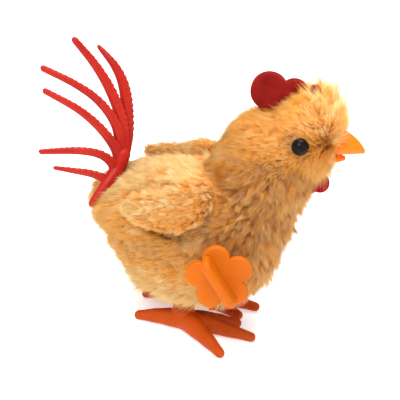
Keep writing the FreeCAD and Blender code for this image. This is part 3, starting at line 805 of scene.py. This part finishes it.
# Directions that the pile lies in, and how much of the others the last two take over.
BACK_FLOW = np.array([-1.0, 0.0, -0.38])
CHEST_FLOW = np.array([-0.30, 0.0, -1.0])
RIM_FLOW = np.array([0.0, 0.0, -1.0])
BEARD_FLOW = np.array([0.5, 0.0, -1.0])
RIM_SHARE, BEARD_SHARE = 0.8, 0.9


def flow_field(points):
    """Which way the pile lies: down the chest, back along the body, away from the face."""
    x, _, z = points.T
    head = rise(z, 54.0, 62.0)
    chest = rise(x, 6.0, 22.0) * (1 - head)
    flow = BACK_FLOW * (1 - chest)[:, None] + CHEST_FLOW * chest[:, None]
    flow = flow * (1 - head)[:, None] + unit(points - FACE) * head[:, None]
    rim = rise(z, 17.0, 10.0)[:, None]
    flow = flow * (1 - RIM_SHARE * rim) + RIM_FLOW * rim
    hanging = BEARD_SHARE * beard(points)[:, None]
    return unit(flow * (1 - hanging) + BEARD_FLOW * hanging)


# The oval that a wing covers: half length and height, middle above the wing's centre, depth.
COVER_LONG, COVER_HIGH, COVER_RISE, COVER_DEEP = 13.5, 8.8, 0.6, 10.0


def wing_cover(points, reach_low, reach_high):
    """1 under a wing and 0 away from it, fading between two reaches (1 is its outline)."""
    covered = np.zeros(len(points))
    for side in SIDES:
        u, v, w = on_wing(points, side)
        reach = (u / COVER_LONG) ** 2 + ((v - COVER_RISE) / COVER_HIGH) ** 2
        near = np.abs(w) < COVER_DEEP
        covered = np.maximum(covered, (1 - rise(reach, reach_low, reach_high)) * near)
    return covered


SWIRL_SHARE = 0.65


def patches(points):
    """Soft patches with smaller flecks, from -1 to 1. Factors are radians per millimetre."""
    x, y, z = points.T
    bands = np.sin(0.42 * x + 1.7 * np.sin(0.31 * z + 0.2 * y))
    swirl = bands * np.sin(0.47 * z - 0.38 * y + np.sin(0.36 * x))
    fleck = np.sin(1.3 * x + 2.1 * np.sin(0.8 * z)) * np.sin(1.1 * z + 0.9 * y)
    return SWIRL_SHARE * swirl + (1 - SWIRL_SHARE) * fleck


# What each region adds to the pile's warmth; the head has a warmth of its own instead.
WARM = {"side": 0.63, "belly": -0.62, "chest": 0.34, "painted_wing_shadow": 0.70}
WARM_HEAD, WARM_FACE, EYE_SHADE_WARMTH = 0.47, -0.12, 0.42
BODY_PATCHES, HEAD_PATCHES = 0.24, 0.12


def warmth(points):
    """0 cream, 0.5 golden, 1 russet, by place on the body, with painted shadow under the wings and painted
    shade round the eyes.
    """
    x, _, z = points.T
    head = rise(z, 56.0, 62.0)
    back = rise(z, 36.0, 45.0) * (1 - rise(x, 0.0, 13.0))
    regions = {
        "side": 1 - back,
        "belly": rise(z, 28.0, 14.0),
        "chest": rise(x, 8.0, 19.0) * rise(z, 20.0, 32.0),
        # painted shadow: the pile below each wing is made russet, where the wing shades it
        "painted_wing_shadow": wing_cover(points, 0.9, 2.3) * rise(z, 45.0, 41.0),
    }
    value = sum(WARM[name] * share for name, share in regions.items())
    value = value * (1 - head) + WARM_HEAD * head
    value += patches(points) * (BODY_PATCHES * (1 - head) + HEAD_PATCHES * head)
    value += WARM_FACE * rise(x, 30.0, 37.0) * rise(z, 57.0, 62.0)
    # painted shade: a russet ring round each eye, where it sits sunk in the pile
    for eye in EYES:
        value += EYE_SHADE_WARMTH * (1 - rise(apart(points, eye), 2.6, 6.0))
    return np.clip(value, 0.0, 1.0)


# The room that feet, leg levers and knob need: half lengths, half widths, heights.
ANKLE_TOP, ANKLE_SWEEP, ANKLE_OUTER, FOOT_TOP = 8.4, 13.0, 14.4, 6.9
ANKLE_GAP = 0.3
LEVER_SWEEP, LEVER_TOP, LEVER_INNER, LEVER_OUTER = 9.2, 17.0, 6.0, 12.3
KNOB_BACK = -26.3


def clear_of_works(paths):
    """Holds the pile off the turning knob, the ankles, the feet and the leg levers."""
    x, y, z = paths[..., 0], paths[..., 1], paths[..., 2]
    np.maximum(y, KNOB_BACK, out=y)
    over_ankle = (np.abs(x) < ANKLE_SWEEP) & (np.abs(y) < ANKLE_OUTER)
    np.maximum(z, np.where(over_ankle, ANKLE_TOP + ANKLE_GAP, FOOT_TOP), out=z)
    by_lever = (np.abs(x) < LEVER_SWEEP) & (z < LEVER_TOP) & (np.abs(y) > LEVER_INNER)
    y[:] = np.where(by_lever, np.sign(y) * np.maximum(np.abs(y), LEVER_OUTER), y)


def wing_front(points):
    """1 just ahead of either wing, where the pile lies over the wing's front edge."""
    band = np.zeros(len(points))
    for side in SIDES:
        u, v, w = on_wing(points, side)
        near = (w > -12.0) & (points[:, 1] * side > 6.0)
        level = rise(v, -9.0, -5.0) * rise(v, 12.0, 8.0)
        band += near * rise(u, 9.0, 12.0) * rise(u, 19.0, 15.0) * level
    return band


def tuft(points, centre, width):
    return np.exp(-(apart(points, centre) / width) ** 2)


def pile_regions(points):
    """How far each point lies in each region of the body's pile, from 0 to 1."""
    x, y, z = points.T
    head = rise(z, 52.0, 60.0)
    return {
        "body": 1 - head,
        "head": head,
        "chest": rise(x, 6.0, 16.0) * (1 - head),
        "belly": rise(z, 26.0, 14.0),
        "beard": beard(points),
        "brow": rise(x, 30.0, 36.0) * rise(z, 62.0, 68.0),
        "crest": rise(apart(points, CREST), 9.0, 4.0),
        "crest_tuft": tuft(points, CREST, 4.5),
        "nape_tuft": tuft(points, NAPE, 7.0),
        "rear": rise(x, -16.0, -24.0) * rise(z, 18.0, 26.0) * rise(z, 44.0, 38.0),
        "skirt": rise(z, 20.0, 13.0) * rise(np.abs(y), 6.0, 11.0),
        "wing_front": wing_front(points),
    }


# The weight of each region in each quality of the pile.
PILE = {
    "length": {"body": 5.2, "head": 5.0, "chest": 1.6, "crest_tuft": 2.6, "beard": 4.6,
               "nape_tuft": 1.8, "rear": 2.6, "brow": 3.2, "skirt": 4.1},
    "lift": {"body": 0.55, "head": 1.1, "belly": 0.25, "rear": 0.5, "wing_front": 0.6},
    "curl": {"body": 0.09, "head": 0.08, "chest": 0.07, "crest": 0.10},
    "clump": {"body": 0.32, "head": 0.14, "chest": 0.38, "crest": 0.36},
    "thick": {"body": 1.0, "head": 0.85},
}
DENSITY = 1.3            # strands are thinned out only where fullness times this is below 1
UNEVEN_LENGTHS = (0.75, 1.1)
UNDER_WING_CUT = 0.65
WING_FRONT_LENGTH = 3.2
WISP_LENGTH, WISP_RARITY = 0.5, 3
ROOT_DEPTH = 0.3
BODY_LOCK, WING_LOCK = 26, 24     # strands in a lock


def body_fur(spots, normals, draw):
    """Fine fluff on the head, long cream-tipped locks on the chest, smooth pile behind."""
    full = fullness(spots)
    keep = draw.random(len(spots)) < np.clip(full * DENSITY, 0.0, 1.0)
    spots, normals, full = spots[keep], normals[keep], full[keep]
    regions = pile_regions(spots)
    style = {quality: sum(weight * regions[name] for name, weight in weights.items())
             for quality, weights in PILE.items()}
    uneven = draw.uniform(*UNEVEN_LENGTHS, len(spots))
    length = style["length"] * (STUBBLE + (1 - STUBBLE) * full) * uneven
    length *= 1 - UNDER_WING_CUT * wing_cover(spots, 0.7, 1.1)
    length += WING_FRONT_LENGTH * regions["wing_front"]
    wisps = WISP_LENGTH * regions["crest"] * draw.random(len(spots)) ** WISP_RARITY
    style["length"] = length * (1 + wisps)
    style["flow"] = flow_field(spots)
    style["warm"] = warmth(spots)
    style["lock"] = BODY_LOCK
    roots = spots - normals * ROOT_DEPTH
    plant("plush_pile", roots, normals, style, clear_of_works, draw)


WING_PILE = {"lift": 0.45, "curl": 0.10, "clump": 0.42, "thick": 1.0}
WING_LENGTHS = (2.8, 4.2)
WING_DROOP = 0.45        # how far the pile lies downwards on a wing, against backwards
INNER_SHARE = 0.6        # share of their length that strands have on a wing's inner face
WARM_WING, WING_EDGE_SHADE, WARM_WING_FRONT, WING_PATCHES = 0.07, 0.26, 0.34, 0.16


def wing_fur(pad, side):
    """Short pile that lies back and down, warmer at the wing's front, and russet at its lower edge as
    painted shade.
    """
    draw = np.random.default_rng(20 + side)
    spots, normals = scatter(pad, WING_STRANDS, draw)
    _, across, up, out = wing_axes(side)
    u, v, _ = on_wing(spots, side)
    amount = len(spots)
    outside = rise(normals @ out, -0.6, 0.2)
    # painted shade: the pile towards the wing's lower edge is made russet
    warm = (WARM_WING + WING_EDGE_SHADE * rise(v, -2.0, -8.0) + WARM_WING_FRONT * rise(u, 0.0, 12.0)
            + WING_PATCHES * patches(spots))
    style = {quality: np.full(amount, value) for quality, value in WING_PILE.items()}
    style["length"] = draw.uniform(*WING_LENGTHS, amount) * (INNER_SHARE + (1 - INNER_SHARE) * outside)
    style["flow"] = np.tile(-across - WING_DROOP * up, (amount, 1))
    style["warm"] = np.clip(warm, 0.0, 1.0)
    style["lock"] = WING_LOCK
    plant(SIDES[side] + "_wing_pile", spots, normals, style, None, draw)


# ---- feet
ANKLE_X, FOOT_Y = 0.06, 10.3
# The toes meet a little in front of the ankle: where, and the half sizes there.
TOE_ROOT, TOE_ROOT_R = np.array([1.2, 10.3, 3.7]), np.array([3.3, 2.6, 3.5])
TOE_TIPS = ((13.4, 24.5), (22.0, 10.9), (17.0, 2.9), (-13.6, 8.0))     # (forward, outward)
TOE_TIP_R = 1.5
TOE_BALLS = 24
TOE_ARCH = 0.4           # how far the middle of a toe stands up
TOE_FOLD, TOE_FOLDS = 0.05, 3
TOE_TAPER = 1.25
# One low ball webs the front toes.
WEB = (np.array([5.0, 11.0, 2.2]), np.array([4.2, 3.0, 2.0]))
# The ankle is a stack of flattened balls that narrows upwards.
ANKLE_BALLS = 9
ANKLE_WIDE, ANKLE_NARROWING, ANKLE_DEEP, ANKLE_BALL_HEIGHT = 3.6, 0.05, 0.68, 1.9
ANKLE_LOW, ANKLE_STEP = 3.0, 0.4
# The thin sleeve that runs up over the end of the leg lever.
SLEEVE_HEIGHTS, SLEEVE_ACROSS = (7.0, 8.0, 9.0, 9.4), (-2.2, -1.3, -0.4, 0.4, 1.3, 2.2)
SLEEVE_BALL, SLEEVE_Y = np.array([1.3, 1.25, 1.3]), 10.4


def toe_balls(forward, outward):
    """Balls from the toes' common root to one tip, arched and shallowly folded."""
    balls = []
    tip = np.array([forward, outward, TOE_TIP_R])
    for index in range(TOE_BALLS):
        part = index / (TOE_BALLS - 1)
        arch = np.array([0.0, 0.0, TOE_ARCH * math.sin(part * math.pi)])
        spot = TOE_ROOT + (tip - TOE_ROOT) * part + arch
        fold = TOE_FOLD * math.cos(part * TOE_FOLDS * math.tau)
        balls.append((spot, TOE_ROOT_R + (TOE_TIP_R - TOE_ROOT_R) * part ** TOE_TAPER + fold))
    return balls


def ankle_balls():
    """Balls of the ankle and of the sleeve round the lever's end."""
    balls = []
    for index in range(ANKLE_BALLS):
        wide = ANKLE_WIDE - ANKLE_NARROWING * index
        spot = np.array([ANKLE_X, FOOT_Y, ANKLE_LOW + ANKLE_STEP * index])
        balls.append((spot, np.array([wide, wide * ANKLE_DEEP, ANKLE_BALL_HEIGHT])))
    for height in SLEEVE_HEIGHTS:
        for across in SLEEVE_ACROSS:
            balls.append((np.array([ANKLE_X + across, SLEEVE_Y, height]), SLEEVE_BALL))
    return balls


def foot(side):
    """One soft vinyl foot: tapering toes that run into a rounded ankle."""
    left_balls = [ball for tip in TOE_TIPS for ball in toe_balls(*tip)] + [WEB] + ankle_balls()
    mirror = np.array([1.0, side, 1.0])
    balls = [(centre * mirror, radii) for centre, radii in left_balls]
    name = SIDES[side] + "_foot"
    shape = ball_cluster(name + "_vinyl", balls, voxel=0.4, rounds=5, material=FOOT_ORANGE)
    points = coordinates(shape)
    points[:, 2] = np.maximum(points[:, 2], 0.0)
    set_coordinates(shape, points)
    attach(shape, "left_leg" if side > 0 else "right_leg")
    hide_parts(name)


# ---- tail
# Each feather: points from the root to the tip, then its half width at root, middle and tip.
FEATHERS = (
    (((-25.2, 0, 50), (-25.2, 2.5, 59.6), (-27.2, 4, 69.2), (-30.8, 4.8, 75.6), (-37.1, 6, 81.2)),
     2.1, 2.0, 0.65),
    (((-25.3, 0, 50), (-26.8, 1.3, 60.4), (-30.8, 2, 68.5), (-36.4, 2.6, 75.8), (-44.2, 3, 83.2)),
     2.4, 1.8, 1.05),
    (((-25.5, 0, 50), (-28, 0, 59), (-33.6, 0, 65.6), (-41.4, 0, 70), (-52.4, 0, 73.7)),
     2.1, 1.45, 1.1),
    (((-25.9, -0.6, 48.2), (-27.8, -1.2, 53), (-32.8, -2, 58.6), (-39.8, -2.8, 63.5), (-50.6, -3, 67.8)),
     1.9, 1.45, 1.0),
    (((-26.8, -1.8, 44.4), (-27.9, -2.5, 48), (-31.7, -4, 50.9), (-38.4, -4.8, 51.2), (-49.9, -5, 49)),
     1.8, 1.35, 0.85),
    (((-28.0, -3.4, 42.2), (-30.8, -3.6, 43.6), (-34, -3.8, 44.3), (-37.7, -4, 44.4), (-45.3, -4, 44.3)),
     1.6, 1.2, 0.65),
)
# The soft tips stand a little further out than the plain solid's.
FEATHER_REACH = 1.02
FEATHER_SAMPLES, FEATHER_CORNERS, CURVE_STEPS = 110, 22, 40
FEATHER_FLAT, EDGE_THINNING = 0.42, 0.35
TIP_START, TIP_PART, LEAST_TIP = 0.97, 0.03, 0.02     # where the tip rounds off
BARB_PITCH, BARB_BITE = 1.7, 0.28                     # the notches of the lower edge
GRAIN_PITCH, GRAIN_SLANT, GRAIN_HEIGHT = 0.8, 0.8, 0.05
RIB_PLACE, RIB_WIDTH, RIB_HEIGHT = 0.12, 0.2, 0.14    # across a feather, as shares of its half


def smooth_path(points, samples):
    """A Catmull-Rom curve through a few points, evenly spaced along its length."""
    points = [np.array(p, float) for p in points]
    ends = [2 * points[0] - points[1]] + points + [2 * points[-1] - points[-2]]
    dense = []
    for a, b, c, d in zip(ends, ends[1:], ends[2:], ends[3:]):
        for t in np.linspace(0, 1, CURVE_STEPS, endpoint=False):
            dense.append(0.5 * (2 * b + (c - a) * t + (2 * a - 5 * b + 4 * c - d) * t ** 2
                                + (3 * b - a - 3 * c + d) * t ** 3))
    dense = np.array(dense + [points[-1]])
    run = np.concatenate([[0], np.cumsum(np.linalg.norm(np.diff(dense, axis=0), axis=1))])
    at = np.linspace(0, run[-1], samples)
    return np.stack([np.interp(at, run, dense[:, k]) for k in range(3)], axis=1), run[-1]


def feather_half(part, root_half, middle_half, tip_half):
    """Half width of a feather at a share of its length, through its three given ones."""
    half = (root_half * (1 - part) * (1 - 2 * part) + 4 * middle_half * part * (1 - part)
            + tip_half * part * (2 * part - 1))
    tip = max(0.0, (part - TIP_START) / TIP_PART)
    return half * math.sqrt(max(LEAST_TIP, 1 - tip ** 2))


def feather_corner(angle, run, bite):
    """Place across and through a feather, as shares of its half width; run is in millimetres."""
    a = math.cos(angle)
    b = math.sin(angle) * FEATHER_FLAT * (1 - EDGE_THINNING * a * a)
    if abs(b) > TINY:
        grain = GRAIN_HEIGHT * math.sin(math.tau * (run / GRAIN_PITCH + GRAIN_SLANT * abs(a)))
        rib = RIB_HEIGHT * math.exp(-((a - RIB_PLACE) / RIB_WIDTH) ** 2)
        b += math.copysign(rib + grain * (1 - abs(a)), b)
    return (a * (1 - bite) if a < 0 else a), b


def feather_mesh(points, root_half, middle_half, tip_half, draw):
    """One feather: flattened, with a raised midrib, a fine grain and a notched lower edge."""
    path, length = smooth_path(points, FEATHER_SAMPLES)
    tangent = unit(np.gradient(path, axis=0))
    across = unit(np.cross(tangent, np.array([[0.0, 1.0, 0.0]])))
    through = np.cross(tangent, across)
    phase = draw.random()
    around = FEATHER_CORNERS
    vertices, faces = [], []
    for index in range(FEATHER_SAMPLES):
        part = index / (FEATHER_SAMPLES - 1)
        half = feather_half(part, root_half, middle_half, tip_half)
        notch = (part * length / BARB_PITCH + phase) % 1.0
        bite = BARB_BITE * notch * float(rise(part, 0.12, 0.3)) * (1 - 0.5 * part)
        for corner in range(around):
            a, b = feather_corner(math.tau * corner / around, part * length, bite)
            vertices.append(path[index] + across[index] * half * a + through[index] * half * b)
    for index in range(FEATHER_SAMPLES - 1):
        for corner in range(around):
            after = (corner + 1) % around
            low, high = index * around, (index + 1) * around
            faces.append((low + corner, low + after, high + after, high + corner))
    faces.append(tuple(reversed(range(around))))
    faces.append(tuple(range((FEATHER_SAMPLES - 1) * around, FEATHER_SAMPLES * around)))
    return vertices, faces


SPINE_BALLS, STEM_BALLS = 10, 10
SPINE_THIN = 0.85
STEM_START, STEM_STEP = np.array([-26.6, -1.4, 44.4]), np.array([0.86, 0.1, -0.5])
STEM_BALL = np.full(3, 1.7)


def spine_balls():
    """Balls along the spine and along the stem that goes into the body."""
    balls = []
    for start, end in zip(SPINE, SPINE[1:]):
        for part in np.linspace(0.0, 1.0, SPINE_BALLS):
            x, y, z, radius = np.array(start) * (1 - part) + np.array(end) * part
            balls.append((np.array([x, y, z]), np.array([radius, radius * SPINE_THIN, radius])))
    for index in range(STEM_BALLS):
        balls.append((STEM_START + STEM_STEP * index, STEM_BALL))
    return balls


def tail():
    """Six feathers as one fan, and the spine that holds them."""
    draw = np.random.default_rng(3)
    vertices, faces = [], []
    for points, *widths in FEATHERS:
        root = np.array(points[0], float)
        reached = [root + (np.array(point) - root) * FEATHER_REACH for point in points]
        more, rings = feather_mesh(reached, *widths, draw)
        faces += [tuple(v + len(vertices) for v in ring) for ring in rings]
        vertices += [to_frame(v) for v in more]
    fan = new_object("tail_fan", vertices, faces, TAIL_RED)
    smooth(fan)
    stem = ball_cluster("tail_spine", spine_balls(), voxel=0.35, rounds=3, material=TAIL_RED)
    for piece in (fan, stem):
        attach(piece, "body")
        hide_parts("tail_feathers")


# ---- stage, light and camera
# The photo's view: angles, then distance from the aim and width there, in metres.
AZIMUTH = math.radians(3.0)
ELEVATION = math.radians(21.5)
ROLL = math.radians(7.8)
DISTANCE = 0.400
AIM = place((0.0, 0.0, 39.7))
VIEW_WIDTH = 0.1231
SENSOR = 36.0


def camera():
    back = Vector((math.sin(AZIMUTH) * math.cos(ELEVATION), -math.cos(AZIMUTH) * math.cos(ELEVATION),
                   math.sin(ELEVATION)))
    level = Vector((math.cos(AZIMUTH), math.sin(AZIMUTH), 0.0))
    up = back.cross(level)
    right = level * math.cos(ROLL) + up * math.sin(ROLL)
    up = back.cross(right)
    data = bpy.data.cameras.new("camera")
    data.sensor_width = SENSOR
    data.lens = SENSOR * DISTANCE / VIEW_WIDTH
    data.clip_start = 0.01
    view = bpy.data.objects.new("camera", data)
    turn = Matrix((right, up, back)).transposed().to_4x4()
    view.matrix_world = Matrix.Translation(AIM + back * DISTANCE) @ turn
    show(view)
    bpy.context.scene.camera = view


def area_light(name, position, size, power, colour):
    """A round softbox that faces the toy. position is in millimetres, size in metres."""
    data = bpy.data.lights.new(name, "AREA")
    data.shape = "DISK"
    data.size = size
    data.energy = power
    data.color = colour
    lamp = bpy.data.objects.new(name, data)
    lamp.location = place(position)
    lamp.rotation_euler = (AIM - lamp.location).to_track_quat("-Z", "Y").to_euler()
    show(lamp)


WHITE = (1.0, 1.0, 1.0)
WARM_WHITE = (1.0, 0.985, 0.96)


def stage():
    """A bright floor (in metres), a white surround and three softboxes."""
    g = Graph("floor_white")
    g.link(g.blotched((0.90,) * 3, (0.92,) * 3, 1.0, scale=8.0), "Base Color")
    g.set(Roughness=0.9, Emission_Color=(*WHITE, 1.0), Emission_Strength=0.45)
    half = 3.0
    corners = [(-half, -half, 0), (half, -half, 0), (half, half, 0), (-half, half, 0)]
    floor = new_object("floor", corners, [(0, 1, 2, 3)], g.material)
    world = bpy.data.worlds.new("studio")
    world.use_nodes = True
    surround = world.node_tree.nodes["Background"].inputs
    surround["Color"].default_value = (*WHITE, 1.0)
    surround["Strength"].default_value = 0.32
    bpy.context.scene.world = world
    bpy.context.scene.view_settings.view_transform = "Standard"
    area_light("softbox_key", (-120, -330, 420), size=0.35, power=2.8, colour=WARM_WHITE)
    area_light("softbox_fill", (380, -260, 240), size=0.30, power=0.6, colour=WHITE)
    area_light("softbox_top", (0, 120, 520), size=0.40, power=2.6, colour=WHITE)


# ---- build
camera()
stage()
skin = plush_backing()
pads = {side: wing_pad(side) for side in SIDES}
for side in pads:
    foot(side)
tail()
fur_draw = np.random.default_rng(7)
fur_spots, fur_normals = scatter(skin, BODY_STRANDS, fur_draw)
thicken(skin)
body_fur(fur_spots, fur_normals, fur_draw)
for side, pad in pads.items():
    wing_fur(pad, side)
